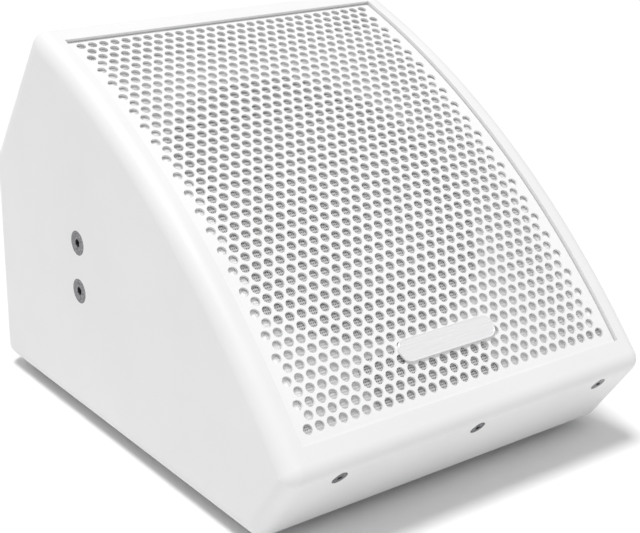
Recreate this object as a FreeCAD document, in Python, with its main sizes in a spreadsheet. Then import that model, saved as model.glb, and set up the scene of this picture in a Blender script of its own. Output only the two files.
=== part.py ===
import FreeCAD, Part

import math
import os

import Sketcher

Vector = FreeCAD.Vector
Rotation = FreeCAD.Rotation
Placement = FreeCAD.Placement

# A floor monitor: a wedge cabinet of coated plywood behind a curved perforated grille, with an
# 8 inch two-way coaxial driver, a port, a passive crossover and a rear connector plate.
# Millimetres. X runs to the right seen from the front, Y runs to the back, Z is up.
# The origin is on the floor, under the middle of the whole object.
# Most pieces are placed in the face frame: its origin is the sharp lower front edge of the
# sloping face, x runs right, "rise" runs up the slope and "out" points out of the face.

DIMENSIONS = {
    # cabinet
    "slope": 35,
    "cabinet_width": 272,
    "wall": 15,
    "edge_wall": 17,
    "face_chord": 337,
    "lip_length": 61.5,
    "top_length": 117,
    "front_radius": 604,
    "edge_round": 10,
    "trim_reach": 60,
    # baffle and battens
    "baffle_depth": 18,
    "baffle_wall": 18,
    "batten_width": 18,
    "batten_start": 40,
    "batten_end": 300,
    "cleat_width": 16,
    "cleat_gap": 0.8,
    "cleat_start": 29.5,
    "cleat_end": 297,
    # grille
    "grille_recess": 2.5,
    "grille_sheet": 1.5,
    "grille_gap": 0.5,
    "grille_return": 16,
    "hole_pitch": 8,
    "hole_radius": 3,
    "hole_columns": 29,
    "hole_rows": 43,
    "lattice_shift": 1.5,
    "grille_screw_head": 5,
    "grille_screw_radius": 2.5,
    "grille_screw_length": 25,
    "grille_screw_socket": 3,
    "grille_screw_depth": 10.5,
    "grille_screw_spacing": 100,
    "grille_nut_width": 8,
    "grille_nut_height": 4.5,
    "scrim_gap": 0.1,
    "scrim_wall": 0.4,
    "scrim_margin": 0.5,
    # badge
    "badge_length": 72,
    "badge_height": 14,
    "badge_sheet": 1.6,
    "badge_row": 3.5,
    "badge_lift": 0.2,
    "badge_flat": 0.5,
    "stud_columns": 3,
    "stud_radius": 2.2,
    "stud_length": 5,
    "clip_radius": 5,
    "clip_height": 0.8,
    "clip_gap": 0.1,
    # fasteners with domed heads
    "driver_screw_head": 4.5,
    "driver_screw_dome": 3,
    "driver_screw_radius": 2.5,
    "driver_screw_length": 30,
    "wood_screw_head": 3.8,
    "wood_screw_dome": 2.4,
    "wood_screw_radius": 2,
    "wood_screw_length": 15,
    "plate_screw_length": 12,
    "socket_screw_head": 2.4,
    "socket_screw_dome": 1.8,
    "socket_screw_radius": 1.5,
    "socket_screw_length": 8,
    "screw_rim": 0.4,
    "tee_nut_barrel": 3.9,
    "tee_nut_flange": 9,
    "tee_nut_wall": 1.5,
    "tee_nut_start": 9,
    # driver, measured from its mounting plane on the baffle
    "driver_rise": 176.5,
    "driver_hole": 93,
    "frame_radius": 104.5,
    "frame_flange": 5,
    "frame_inner": 88,
    "frame_neck": 91.5,
    "frame_depth": 52,
    "frame_foot": 62,
    "frame_seat": 4,
    "frame_margin": 5,
    "spoke_count": 6,
    "window_depth": 40,
    "window_span": 58,
    "window_height": 22,
    "window_radius": 88,
    "window_level": 30,
    "window_tilt": 40,
    "bolt_circle": 99.5,
    "bolt_count": 8,
    "surround_outer": 94.5,
    "surround_inner": 77.5,
    "surround_sheet": 0.8,
    "roll_height": 5,
    "roll_clearance": 0.5,
    "gasket_height": 4,
    "gasket_setback": 1.4,
    "cone_land": 73.5,
    "cone_wall": 0.9,
    "cone_depth": 34,
    "cone_curve": 110,
    "cone_collar": 3,
    "cone_lip": 1,
    "cone_setback": 0.5,
    "coil_inner": 33,
    "former_wall": 0.5,
    "coil_wall": 1.3,
    "coil_length": 11,
    "coil_end": 64,
    "spider_level": 40,
    "spider_outer": 66,
    "spider_sheet": 0.6,
    "spider_wave": 2,
    "spider_waves": 5,
    "spider_neck": 3,
    "spider_land": 4,
    "spider_overhang": 0.5,
    "spider_step": 1,
    "plate_bore": 36,
    "plate_radius": 63,
    "front_plate_height": 8,
    "magnet_bore": 44,
    "magnet_radius": 65,
    "magnet_height": 18,
    "back_plate_height": 8,
    "pole_radius": 31.6,
    "throat_radius": 12.7,
    "pole_below": 1,
    # high frequency unit, stacked behind the back plate
    "horn_mouth": 31.4,
    "horn_front": 24,
    "horn_wall": 2,
    "horn_foot": 22,
    "horn_curve": 50,
    "horn_root": 0.5,
    "tweeter_radius": 44,
    "tweeter_front_plate": 4,
    "tweeter_magnet_bore": 30,
    "tweeter_magnet_height": 10,
    "tweeter_top_plate": 4,
    "tweeter_gap_bore": 23.6,
    "plug_radius": 21,
    "plug_slots": 9,
    "plug_slot_width": 1.6,
    "plug_slot_start": 5,
    "plug_slot_rim": 3,
    "plug_tip": 8,
    "dome_radius": 22.2,
    "dome_height": 6,
    "dome_wall": 0.4,
    "dome_gap": 0.8,
    "dome_setback": 0.6,
    "dome_skirt": 4,
    "suspension_outer": 30,
    "suspension_wall": 0.3,
    "suspension_fit": 0.5,
    "cap_ledge": 3,
    "rear_cap_radius": 36,
    "rear_cap_height": 12,
    "rear_cap_wall": 2.5,
    "terminal_offset": 53,
    "terminal_width": 16,
    "terminal_depth": 12,
    "terminal_height": 8,
    # port
    "port_rise": 44.5,
    "port_width": 90,
    "port_height": 36,
    "port_corner": 10,
    "port_wall": 2.5,
    "port_length": 38,
    # flying points in the sides
    "fly_from_back": 117.5,
    "fly_upper": 117.3,
    "fly_spacing": 32,
    "fly_bolt_head": 8,
    "fly_bolt_radius": 4,
    "fly_bolt_length": 24,
    "fly_socket": 5,
    "fly_plate_height": 60,
    "fly_plate_width": 26,
    "fly_plate_wall": 4,
    # feet
    "foot_height": 6,
    "foot_radius": 15,
    "foot_top_radius": 16,
    "foot_recess_radius": 6.5,
    "foot_recess": 3.4,
    "foot_side": 98,
    "foot_front": 38,
    "foot_back": 272,
    # rear connector plate
    "plate_rise": 75,
    "plate_width": 190,
    "plate_height": 84,
    "plate_wall": 3,
    "plate_rebate": 6,
    "plate_rim": 12,
    "plate_corner": 6,
    "plate_clearance": 1,
    "plate_screw_inset": 7,
    "socket_offset": 24,
    "socket_flange": 31,
    "socket_flange_wall": 2.5,
    "socket_body": 12.8,
    "socket_reach": 22,
    "socket_bore": 11.5,
    "socket_floor": 3,
    "socket_post": 3,
    "socket_screw_inset": 4,
    "over_cut": 1,
    "tab_offset": 6,
    "tab_width": 4.8,
    "tab_wall": 0.8,
    "tab_length": 9,
    # crossover
    "board_width": 140,
    "board_length": 76,
    "board_front": 208,
    "board_wall": 1.6,
    "standoff_height": 6,
    "standoff_radius": 4,
    "board_hole_inset": 5,
    "block_height": 10.4,
    "block_depth": 8,
    "bobbin_bore": 4,
    "bobbin_wall": 1.5,
    "bobbin_core": 0.4,
    "winding_setback": 1,
    "resistor_length": 40,
    "resistor_depth": 9.5,
    "resistor_height": 9,
    # wiring and damping
    "wire_radius": 1.25,
    "wire_spacing": 4,
    "link_reach": 14,
    "pad_width": 190,
    "pad_thickness": 20,
    "pad_length": 54,
    "pad_depth": 44,
}

doc = FreeCAD.newDocument("stage_monitor")
sheet = doc.addObject("Spreadsheet::Sheet", "D")
for row, (name, size) in enumerate(DIMENSIONS.items(), start=1):
    sheet.set(f"A{row}", name)
    sheet.set(f"B{row}", str(size))
    sheet.setAlias(f"B{row}", name)
doc.recompute()

subparts = []


def size(expression):
    """The number that an expression over the sheet's cells gives."""
    result = sheet.evalExpression(str(expression))
    return float(getattr(result, "Value", result))


def keep(piece, label):
    """Names a finished sub-part and lists it for export."""
    piece.Label = label
    subparts.append(piece)
    return piece


# ---------------------------------------------------------------- frames

SINE = "sin(D.slope)"
COSINE = "cos(D.slope)"
CABINET_DEPTH = f"(D.face_chord * {COSINE} + (D.top_length - D.lip_length) * {SINE})"
BACK_HEIGHT = f"(D.face_chord * {SINE} - (D.top_length - D.lip_length) * {COSINE})"
INNER_WIDTH = "(D.cabinet_width - 2 * D.wall)"
# distance from the centre of the curved face down to the chord between its two ends
CROWN_DROP = "sqrt(D.front_radius^2 - (D.face_chord / 2)^2)"
GRILLE_RADIUS = "(D.front_radius - D.grille_recess)"
GRILLE_INSIDE = f"({GRILLE_RADIUS} - D.grille_sheet)"
# level of the back plate's rear face below the driver's mounting plane
MOTOR_END = "(D.frame_depth + D.front_plate_height + D.magnet_height + D.back_plate_height)"


def face_point(rise, out):
    """A point of the face frame as (back, up) from the cabinet's lower front corner."""
    back = f"(({rise}) * {COSINE} - (({out}) + D.lip_length) * {SINE})"
    up = f"(({rise}) * {SINE} + (({out}) + D.lip_length) * {COSINE})"
    return back, up


def front_reach():
    """How far the rounded top edge of the lip stands in front of the lower front corner."""
    rounding = size("D.edge_round")
    radius = size("D.front_radius") - rounding
    half = size("D.face_chord / 2") - rounding
    out = math.sqrt(radius ** 2 - half ** 2) - size(CROWN_DROP)
    back, _ = face_point(rounding, out)
    return rounding - size(back)


def cabinet_place(x=0, back=0, up=0, turn=Rotation()):
    """A placement from the cabinet's lower front corner, the floor being under the feet."""
    middle = (size(CABINET_DEPTH) - front_reach()) / 2
    return Placement(Vector(x, back - middle, up + size("D.foot_height")), turn)


def face_place(x=0, rise=0, out=0, turn=Rotation()):
    """A placement in the face frame."""
    back, up = face_point(rise, out)
    slope = Rotation(Vector(1, 0, 0), size("D.slope"))
    return cabinet_place(x, size(back), size(up), slope.multiply(turn))


def driver_place(x=0, rise=0, level=0, turn=Rotation()):
    """A placement from the middle of the driver's mounting plane, level counted outwards."""
    return face_place(x, size("D.driver_rise") + rise, level - size("D.baffle_depth"), turn)


def around(count, radius, start=0):
    """Evenly spaced points of a circle."""
    for step in range(count):
        angle = math.radians(start + 360 * step / count)
        yield radius * math.cos(angle), radius * math.sin(angle)


# ---------------------------------------------------------------- builders

LEFT = 1
RIGHT = -1


def outline(sketch, points, arcs=None):
    """Adds a closed outline to a sketch. Each point is a pair of expressions. arcs gives, for
    the edge after a point, the radius of the arc that replaces the straight edge, and the side
    that its centre is on as seen along the outline."""
    arcs = arcs or {}
    spots = [Vector(size(x), size(y), 0) for x, y in points]
    first = sketch.GeometryCount
    starts = []
    for index, spot in enumerate(spots):
        after = spots[(index + 1) % len(spots)]
        if index not in arcs:
            sketch.addGeometry(Part.LineSegment(spot, after))
            starts.append(1)
            continue
        radius = size(arcs[index][0])
        side = arcs[index][1]
        along = after - spot
        to_centre = Vector(-along.y, along.x, 0).normalize() * side
        drop = math.sqrt(radius ** 2 - (along.Length / 2) ** 2)
        middle = (spot + after) / 2 - to_centre * (radius - drop)
        ends = (spot, after) if side == LEFT else (after, spot)
        sketch.addGeometry(Part.Arc(ends[0], middle, ends[1]))
        starts.append(1 if side == LEFT else 2)
    for index, (x, y) in enumerate(points):
        edge = first + index
        before = first + (index - 1) % len(points)
        end_before = 3 - starts[(index - 1) % len(points)]
        sketch.addConstraint(Sketcher.Constraint("Coincident", before, end_before, edge, starts[index]))
        for kind, expression in (("DistanceX", x), ("DistanceY", y)):
            constraint = Sketcher.Constraint(kind, -1, 1, edge, starts[index], size(expression))
            number = sketch.addConstraint(constraint)
            sketch.setExpression(f"Constraints[{number}]", str(expression))
    for index, (radius, _) in arcs.items():
        number = sketch.addConstraint(Sketcher.Constraint("Radius", first + index, size(radius)))
        sketch.setExpression(f"Constraints[{number}]", radius)


def new_sketch(body, plane):
    """A sketch on one of a body's own origin planes."""
    sketch = body.newObject("Sketcher::SketchObject", body.Name + "_sketch")
    support = [item for item in body.Origin.OriginFeatures if item.Role == plane][0]
    sketch.AttachmentSupport = [(support, "")]
    sketch.MapMode = "FlatFace"
    return sketch


def padded(name, plane, outlines, length, middle=True):
    """A body made by padding one or more outlines of (points, arcs)."""
    body = doc.addObject("PartDesign::Body", name)
    sketch = new_sketch(body, plane)
    for points, arcs in outlines:
        outline(sketch, points, arcs)
    pad = body.newObject("PartDesign::Pad", name + "_pad")
    pad.Profile = sketch
    pad.Midplane = middle
    pad.setExpression("Length", length)
    body.Tip = pad
    return body


def turned(name, points, arcs=None):
    """A body turned about its Z axis from a (radius, level) outline."""
    body = doc.addObject("PartDesign::Body", name)
    sketch = new_sketch(body, "XZ_Plane")
    outline(sketch, points, arcs)
    turn = body.newObject("PartDesign::Revolution", name + "_turn")
    turn.Profile = sketch
    turn.ReferenceAxis = (sketch, ["V_Axis"])
    turn.Angle = 360
    body.Tip = turn
    return body


def ring(name, inside, outside, low, high):
    """A turned ring with a rectangular section."""
    return turned(name, [(inside, low), (outside, low), (outside, high), (inside, high)])


def block(name, length, width, height, centred=True):
    """A box, centred on its X and Y and standing on Z zero."""
    box = doc.addObject("Part::Box", name)
    box.setExpression("Length", length)
    box.setExpression("Width", width)
    box.setExpression("Height", height)
    if centred:
        box.setExpression("Placement.Base.x", f"-({length}) / 2")
        box.setExpression("Placement.Base.y", f"-({width}) / 2")
    return box


def rod(name, radius, height, place=Placement()):
    """A cylinder along its own Z axis."""
    cylinder = doc.addObject("Part::Cylinder", name)
    cylinder.setExpression("Radius", radius)
    cylinder.setExpression("Height", height)
    cylinder.Placement = place
    return cylinder


def hexagon(name, across_flats, height, place=Placement()):
    """A hexagonal prism."""
    prism = doc.addObject("Part::Prism", name)
    prism.Polygon = 6
    prism.setExpression("Circumradius", f"({across_flats}) / sqrt(3)")
    prism.setExpression("Height", height)
    prism.Placement = place
    return prism


def gathered(name, pieces):
    """A compound of several objects."""
    compound = doc.addObject("Part::Compound", name)
    compound.Links = list(pieces)
    return compound


def fused(name, pieces):
    """One solid made of several that touch."""
    union = doc.addObject("Part::MultiFuse", name)
    union.Shapes = list(pieces)
    return union


def cut(name, base, *tools):
    """A solid with one or more others taken out of it."""
    result = doc.addObject("Part::Cut", name)
    result.Base = base
    result.Tool = tools[0] if len(tools) == 1 else gathered(name + "_tools", tools)
    return result


def shared(name, base, tool):
    """The space that two solids share."""
    result = doc.addObject("Part::Common", name)
    result.Base = base
    result.Tool = tool
    return result


def placed(name, master, place):
    """One copy of a master piece at its place."""
    return repeated(name, master, [place])


def repeated(name, master, places):
    """Separate copies of a master piece, one at each placement, as one object."""
    doc.recompute([master])
    shapes = []
    for place in places:
        shape = master.Shape.copy()
        shape.Placement = place.multiply(shape.Placement)
        shapes.append(shape)
    group = doc.addObject("Part::Feature", name)
    group.Shape = shapes[0] if len(shapes) == 1 else Part.makeCompound(shapes)
    return group


def rounded_rectangle(width, height, corner):
    """The outline of a rectangle with round corners, centred on the origin."""
    half_x = f"({width}) / 2"
    half_y = f"({height}) / 2"
    points = []
    arcs = {}
    for across, along in ((1, -1), (1, 1), (-1, 1), (-1, -1)):
        inner_x = f"{across} * ({half_x} - ({corner}))"
        inner_y = f"{along} * ({half_y} - ({corner}))"
        edge_x = f"{across} * {half_x}"
        edge_y = f"{along} * {half_y}"
        corner_points = [(inner_x, edge_y), (edge_x, inner_y)]
        if across == along:
            corner_points.reverse()
        arcs[len(points)] = (f"({corner})", LEFT)
        points.extend(corner_points)
    return points, arcs


# ---------------------------------------------------------------- fasteners

def countersunk_screw(name, head, shank, length, socket):
    """A countersunk screw with a hexagon socket, its head flush with Z zero, pointing down.
    Also gives the screw without its socket, which is the shape of the hole that it fills."""
    cone = f"(({head}) - ({shank}))"
    body = turned(name + "_blank", [
        ("0", f"-({length})"),
        (f"({shank}) - D.screw_rim", f"-({length})"),
        (shank, f"-({length}) + D.screw_rim"),
        (shank, f"-{cone} - D.screw_rim"),
        (head, "-D.screw_rim"),
        (head, "0"),
        ("0", "0"),
    ])
    recess = hexagon(name + "_socket", socket, cone, Placement(Vector(0, 0, -size(cone)), Rotation()))
    return cut(name, body, recess), body


def pan_screw(name, kind, length):
    """A domed screw with a hexagon socket, its head resting on Z zero, pointing down.
    Its cells are those whose names start with kind."""
    head = f"D.{kind}_head"
    dome = f"D.{kind}_dome"
    shank = f"D.{kind}_radius"
    body = turned(name + "_blank", [
        ("0", f"-{length}"),
        (f"{shank} / 2", f"-{length}"),
        (shank, f"-{length} + {shank}"),
        (shank, "0"),
        (head, "0"),
        (head, f"{dome} / 2"),
        (f"{head} * 2 / 3", dome),
        ("0", dome),
    ])
    recess = hexagon(name + "_socket", f"{head} * 2 / 3", f"{dome} * 2 / 3",
                     Placement(Vector(0, 0, size(f"{dome} / 3")), Rotation()))
    return cut(name, body, recess)


# ---------------------------------------------------------------- cabinet

def inner_corner(rise, level):
    """Where an inner face across the slope meets the level inner face of the bottom."""
    return rise, f"(({level}) - ({rise}) * {SINE}) / {COSINE} - D.lip_length"


def cabinet_corners():
    """The outer and inner corners of the side profile, as (back, up) expressions."""
    beyond = "D.trim_reach"
    top_inside = "(D.face_chord - D.edge_wall)"
    lower_rise, lower_out = inner_corner("D.edge_wall", "D.wall")
    upper_out = f"({top_inside} * {COSINE} - ({CABINET_DEPTH} - D.wall)) / {SINE} - D.lip_length"
    return {
        "front_low": ("0", "0"),
        "back_low": (CABINET_DEPTH, "0"),
        "back_high": (CABINET_DEPTH, BACK_HEIGHT),
        "front_high": face_point("0", beyond),
        "front_high_inside": face_point("D.edge_wall", beyond),
        "top_high": face_point("D.face_chord", beyond),
        "top_high_inside": face_point(top_inside, beyond),
        "front_low_inside": face_point(lower_rise, lower_out),
        "back_low_inside": (f"{CABINET_DEPTH} - D.wall", "D.wall"),
        "back_high_inside": face_point(top_inside, upper_out),
    }


def cabinet_envelope():
    """The whole cabinet as one block with every outside edge rounded."""
    corners = cabinet_corners()
    points = [corners["front_low"], corners["back_low"], corners["back_high"],
              face_point("D.face_chord", "0"), face_point("0", "0")]
    body = padded("envelope", "YZ_Plane", [(points, {3: ("D.front_radius", LEFT)})],
                  "D.cabinet_width")
    doc.recompute()
    block_pad = body.Tip
    edges = [f"Edge{number}" for number in range(1, len(block_pad.Shape.Edges) + 1)]
    rounding = body.newObject("PartDesign::Fillet", "envelope_rounding")
    rounding.Base = (block_pad, edges)
    rounding.setExpression("Radius", "D.edge_round")
    body.Tip = rounding
    body.Placement = cabinet_place()
    return body


def wall_piece(name, envelope, corner_names):
    """One wall between the sides: the part of the envelope inside a prism along X."""
    corners = cabinet_corners()
    points = [corners[corner] for corner in corner_names]
    prism = padded(name + "_prism", "YZ_Plane", [(points, {})], INNER_WIDTH)
    prism.Placement = cabinet_place()
    return shared(name + "_blank", envelope, prism)


def side_piece(name, envelope, side):
    """One side wall: the part of the envelope outside the inner width."""
    slab = block(name + "_slab", "D.wall", "3 * D.face_chord", "2 * D.face_chord", centred=False)
    left = size(f"{side} * D.cabinet_width / 2") - (size("D.wall") if side > 0 else 0)
    slab.Placement = cabinet_place(left, -size("D.face_chord"), -size("D.face_chord / 2"))
    return shared(name + "_blank", envelope, slab)


SIDEWAYS = {"left": -1, "right": 1}


def fly_places(side):
    """Axes of the two flying points of a side, their Z pointing out of the cabinet."""
    back = size(f"{CABINET_DEPTH} - D.fly_from_back")
    turn = Rotation(Vector(0, 1, 0), 90 * side)
    for drop in range(2):
        up = size(f"D.fly_upper - {drop} * D.fly_spacing")
        yield cabinet_place(side * size("D.cabinet_width / 2"), back, up, turn)


def fly_points():
    """Blanking bolts in the flying points and the threaded plates behind them."""
    master, solid = countersunk_screw("fly_bolt", "D.fly_bolt_head", "D.fly_bolt_radius",
                                      "D.fly_bolt_length", "D.fly_socket")
    places = [place for side in SIDEWAYS.values() for place in fly_places(side)]
    keep(repeated("fly_point_bolts", master, places), "fly_point_bolts")
    holes = repeated("fly_point_holes", solid, places)
    bar = block("fly_plate", "D.fly_plate_wall", "D.fly_plate_width", "D.fly_plate_height")
    across = size(f"{INNER_WIDTH} / 2 - D.fly_plate_wall / 2")
    back = size(f"{CABINET_DEPTH} - D.fly_from_back")
    up = size("D.fly_upper - D.fly_spacing / 2 - D.fly_plate_height / 2")
    bars = repeated("fly_bars", bar,
                    [cabinet_place(side * across, back, up) for side in SIDEWAYS.values()])
    keep(cut("fly_plates", bars, holes), "fly_plates")
    return holes


def foot_spots():
    """Where the feet are, as (across, back) from the cabinet's lower front corner."""
    for side in SIDEWAYS.values():
        for back in ("D.foot_front", "D.foot_back"):
            yield side * size("D.foot_side"), size(back)


def feet():
    """Rubber feet with a recess for the screw's head."""
    rubber = turned("foot", [
        ("D.wood_screw_radius", "D.foot_recess"),
        ("D.foot_recess_radius", "D.foot_recess"),
        ("D.foot_recess_radius", "0"),
        ("D.foot_radius", "0"),
        ("D.foot_top_radius", "D.foot_height"),
        ("D.wood_screw_radius", "D.foot_height"),
    ])
    under = -size("D.foot_height")
    keep(repeated("rubber_feet", rubber, [cabinet_place(x, back, under) for x, back in foot_spots()]),
         "rubber_feet")


def wood_screws():
    """The domed screws that hold the feet from below and the crossover board from above."""
    screw = pan_screw("wood_screw", "wood_screw", "D.wood_screw_length")
    over = Rotation(Vector(1, 0, 0), 180)
    recess = size("D.foot_recess - D.foot_height")
    places = [cabinet_place(x, back, recess, over) for x, back in foot_spots()]
    places += [board_place(x, back) for x, back in board_spots()]
    return keep(repeated("wood_screws", screw, places), "wood_screws")


# ---------------------------------------------------------------- grille

def grille_angle(rise):
    """Angle of a rise along the slope about the centre of the curved face, in degrees."""
    return math.degrees(math.asin((rise - size("D.face_chord / 2")) / size(GRILLE_RADIUS)))


def lattice_angle(row):
    """Angle of a row of holes, counted from the lowest."""
    middle = size("D.face_chord / 2 + D.lattice_shift")
    step = math.degrees(size("D.hole_pitch * sqrt(3) / 2") / size(GRILLE_RADIUS))
    return grille_angle(middle) + (row - (size("D.hole_rows") - 1) / 2) * step


def lattice_place(x, angle, radius):
    """A placement on the curved face, its Z pointing straight out of the sheet."""
    centre = size(f"-{CROWN_DROP}")
    rise = size("D.face_chord / 2") + radius * math.sin(math.radians(angle))
    out = centre + radius * math.cos(math.radians(angle))
    return face_place(x, rise, out, Rotation(Vector(1, 0, 0), -angle))


def curved_point(rise, radius):
    """A point at a rise on a curve about the centre of the curved face, in the face frame."""
    return rise, f"sqrt({radius}^2 - (({rise}) - D.face_chord / 2)^2) - {CROWN_DROP}"


def grille_sheet():
    """The curved sheet with its two returns, before it is perforated."""
    low = "(D.edge_wall + D.grille_gap)"
    high = "(D.face_chord - D.edge_wall - D.grille_gap)"
    low_inside = f"({low} + D.grille_sheet)"
    high_inside = f"({high} - D.grille_sheet)"
    points = [
        (low, "-D.grille_return"),
        (low_inside, "-D.grille_return"),
        curved_point(low_inside, GRILLE_INSIDE),
        curved_point(high_inside, GRILLE_INSIDE),
        (high_inside, "-D.grille_return"),
        (high, "-D.grille_return"),
        curved_point(high, GRILLE_RADIUS),
        curved_point(low, GRILLE_RADIUS),
    ]
    body = padded("grille_sheet", "YZ_Plane",
                  [(points, {2: (GRILLE_INSIDE, RIGHT), 6: (GRILLE_RADIUS, LEFT)})],
                  f"{INNER_WIDTH} - 2 * D.grille_gap")
    body.Placement = face_place()
    return body


def grille_holes():
    """A pin for every hole: rows half a pitch apart, the odd rows one hole shorter."""
    reach = size("4 * D.grille_sheet")
    pin = rod("hole_pin", "D.hole_radius", "4 * D.grille_sheet")
    radius = size(GRILLE_RADIUS) - reach / 2
    places = []
    for row in range(int(size("D.hole_rows"))):
        count = int(size("D.hole_columns")) - row % 2
        angle = lattice_angle(row)
        for column in range(count):
            x = (column - (count - 1) / 2) * size("D.hole_pitch")
            places.append(lattice_place(x, angle, radius))
    return repeated("hole_pins", pin, places)


def grille_fastenings():
    """Countersunk screws through the lip and the top, and the nuts on the grille's returns."""
    screw, solid = countersunk_screw("grille_screw", "D.grille_screw_head", "D.grille_screw_radius",
                                     "D.grille_screw_length", "D.grille_screw_socket")
    nut_blank = hexagon("grille_nut_blank", "D.grille_nut_width", "D.grille_nut_height")
    bore = rod("grille_nut_bore", "D.grille_screw_radius", "D.grille_nut_height")
    nut = cut("grille_nut", nut_blank, bore)
    depth = -size("D.grille_screw_depth")
    spacing = size("D.grille_screw_spacing")
    facing_low = Rotation(Vector(1, 0, 0), 90)
    facing_high = Rotation(Vector(1, 0, 0), -90)
    screws = []
    nuts = []
    low_nut = size("D.edge_wall + D.grille_gap + D.grille_sheet + D.grille_nut_height")
    high_nut = size("D.face_chord") - low_nut
    for step in (-1, 0, 1):
        x = step * spacing
        screws.append(face_place(x, 0, depth, facing_low))
        screws.append(face_place(x, size("D.face_chord"), depth, facing_high))
        nuts.append(face_place(x, low_nut, depth, facing_low))
        nuts.append(face_place(x, high_nut, depth, facing_high))
    keep(repeated("grille_nuts", nut, nuts), "grille_nuts")
    keep(repeated("grille_screws", screw, screws), "grille_screws")
    return repeated("grille_screw_holes", solid, screws)


def grille(screw_holes):
    keep(cut("grille", grille_sheet(), grille_holes(), screw_holes), "grille")


def stud_places(level):
    """Places of the badge's two studs, level counted from the sheet's outer face."""
    angle = lattice_angle(size("D.badge_row + 1 / 2"))
    x = size("D.stud_columns * D.hole_pitch")
    for side in SIDEWAYS.values():
        yield lattice_place(side * x, angle, size(GRILLE_RADIUS) + level)


def badge():
    """A blank name plate with rounded ends, its two studs through holes of the grille."""
    corner = "D.badge_height / 2 - D.badge_flat"
    plate = padded("badge_face", "XY_Plane",
                   [rounded_rectangle("D.badge_length", "D.badge_height", corner)],
                   "D.badge_sheet", middle=False)
    lift = size("D.badge_lift")
    plate.Placement = lattice_place(0, lattice_angle(size("D.badge_row")), size(GRILLE_RADIUS) + lift)
    stud = rod("badge_stud", "D.stud_radius", "D.stud_length + D.badge_sheet / 2")
    studs = [placed(f"badge_stud_{index}", stud, place)
             for index, place in enumerate(stud_places(lift - size("D.stud_length")))]
    keep(fused("badge_plate", [plate] + studs), "badge_plate")
    clip = ring("badge_clip", "D.stud_radius", "D.clip_radius", "0", "D.clip_height")
    behind = size("D.grille_sheet + D.scrim_gap + D.scrim_wall + D.clip_gap + D.clip_height")
    keep(repeated("badge_clips", clip, list(stud_places(-behind))), "badge_clips")


def grille_scrim():
    """Open cloth stretched behind the perforated sheet, the badge's studs passing through it."""
    outside = f"({GRILLE_INSIDE} - D.scrim_gap)"
    inside = f"({outside} - D.scrim_wall)"
    low = "(D.edge_wall + D.grille_gap + D.grille_sheet + D.scrim_margin)"
    high = f"(D.face_chord - {low})"
    points = [curved_point(low, inside), curved_point(high, inside),
              curved_point(high, outside), curved_point(low, outside)]
    cloth = padded("scrim_cloth", "YZ_Plane", [(points, {0: (inside, RIGHT), 2: (outside, LEFT)})],
                   f"{INNER_WIDTH} - 2 * D.scrim_margin")
    cloth.Placement = face_place()
    hole = rod("scrim_hole", "D.stud_radius + D.scrim_margin", "2 * D.stud_length")
    holes = repeated("scrim_holes", hole, list(stud_places(-size("2 * D.stud_length"))))
    keep(cut("grille_scrim", cloth, holes), "grille_scrim")


# ---------------------------------------------------------------- driver

def driver_frame(screws):
    """The cast frame: a flange, six spokes and a foot that carries the motor."""
    foot_top = "(-D.frame_depth + D.frame_seat)"
    ledge = "(D.spider_outer - D.spider_land)"
    blank = turned("frame_blank", [
        ("D.frame_inner", "D.frame_flange"),
        ("D.frame_inner", "D.frame_flange - D.frame_seat"),
        (f"{ledge} + D.frame_margin", "-D.spider_level + D.spider_step"),
        (f"{ledge} + D.frame_margin", "-D.spider_level - D.spider_sheet"),
        (ledge, "-D.spider_level - D.spider_sheet"),
        (ledge, "-D.spider_level - D.frame_seat"),
        (ledge, foot_top),
        ("D.plate_bore + D.frame_seat", foot_top),
        ("D.plate_bore + D.frame_seat", "-D.frame_depth"),
        ("D.frame_foot + D.frame_margin", "-D.frame_depth"),
        ("D.frame_foot + 2 * D.frame_margin", "-D.spider_level"),
        ("D.frame_neck", "-D.frame_flange"),
        ("D.frame_neck", "0"),
        ("D.frame_radius", "0"),
        ("D.frame_radius", "D.frame_flange"),
    ])
    window = block("frame_window", "D.window_depth", "D.window_span", "D.window_height")
    inward = Rotation(Vector(0, 1, 0), size("D.window_tilt"))
    spokes = int(size("D.spoke_count"))
    places = []
    for step in range(spokes):
        turn = Rotation(Vector(0, 0, 1), (step + 1 / 2) * 360 / spokes)
        middle = Vector(size("D.window_radius"), 0, -size("D.window_level"))
        places.append(Placement(turn.multVec(middle), turn.multiply(inward)))
    windows = repeated("frame_windows", window, places)
    shell = cut("frame_shell", blank, windows)
    shell.Placement = driver_place()
    keep(cut("driver_frame", shell, screws), "driver_frame")


def driver_fastenings():
    """Screws through the frame's flange into tee nuts behind the baffle."""
    start = 180 / size("D.bolt_count")
    spots = list(around(int(size("D.bolt_count")), size("D.bolt_circle"), start))
    screw = pan_screw("driver_screw", "driver_screw", "D.driver_screw_length")
    nut_end = "-D.baffle_wall - D.tee_nut_wall"
    nut = turned("tee_nut", [
        ("D.driver_screw_radius", "-D.tee_nut_start"),
        ("D.tee_nut_barrel", "-D.tee_nut_start"),
        ("D.tee_nut_barrel", "-D.baffle_wall"),
        ("D.tee_nut_flange", "-D.baffle_wall"),
        ("D.tee_nut_flange", nut_end),
        ("D.driver_screw_radius", nut_end),
    ])
    screws = keep(repeated("driver_screws", screw,
                           [driver_place(x, y, size("D.frame_flange")) for x, y in spots]),
                  "driver_screws")
    nuts = keep(repeated("driver_tee_nuts", nut, [driver_place(x, y) for x, y in spots]),
                "driver_tee_nuts")
    return screws, nuts


def turned_part(label, points, arcs=None):
    """A turned sub-part on the driver's axis."""
    body = turned(label, points, arcs)
    body.Placement = driver_place()
    return keep(body, label)


def ring_part(label, inside, outside, low, high):
    return turned_part(label, [(inside, low), (outside, low), (outside, high), (inside, high)])


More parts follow.
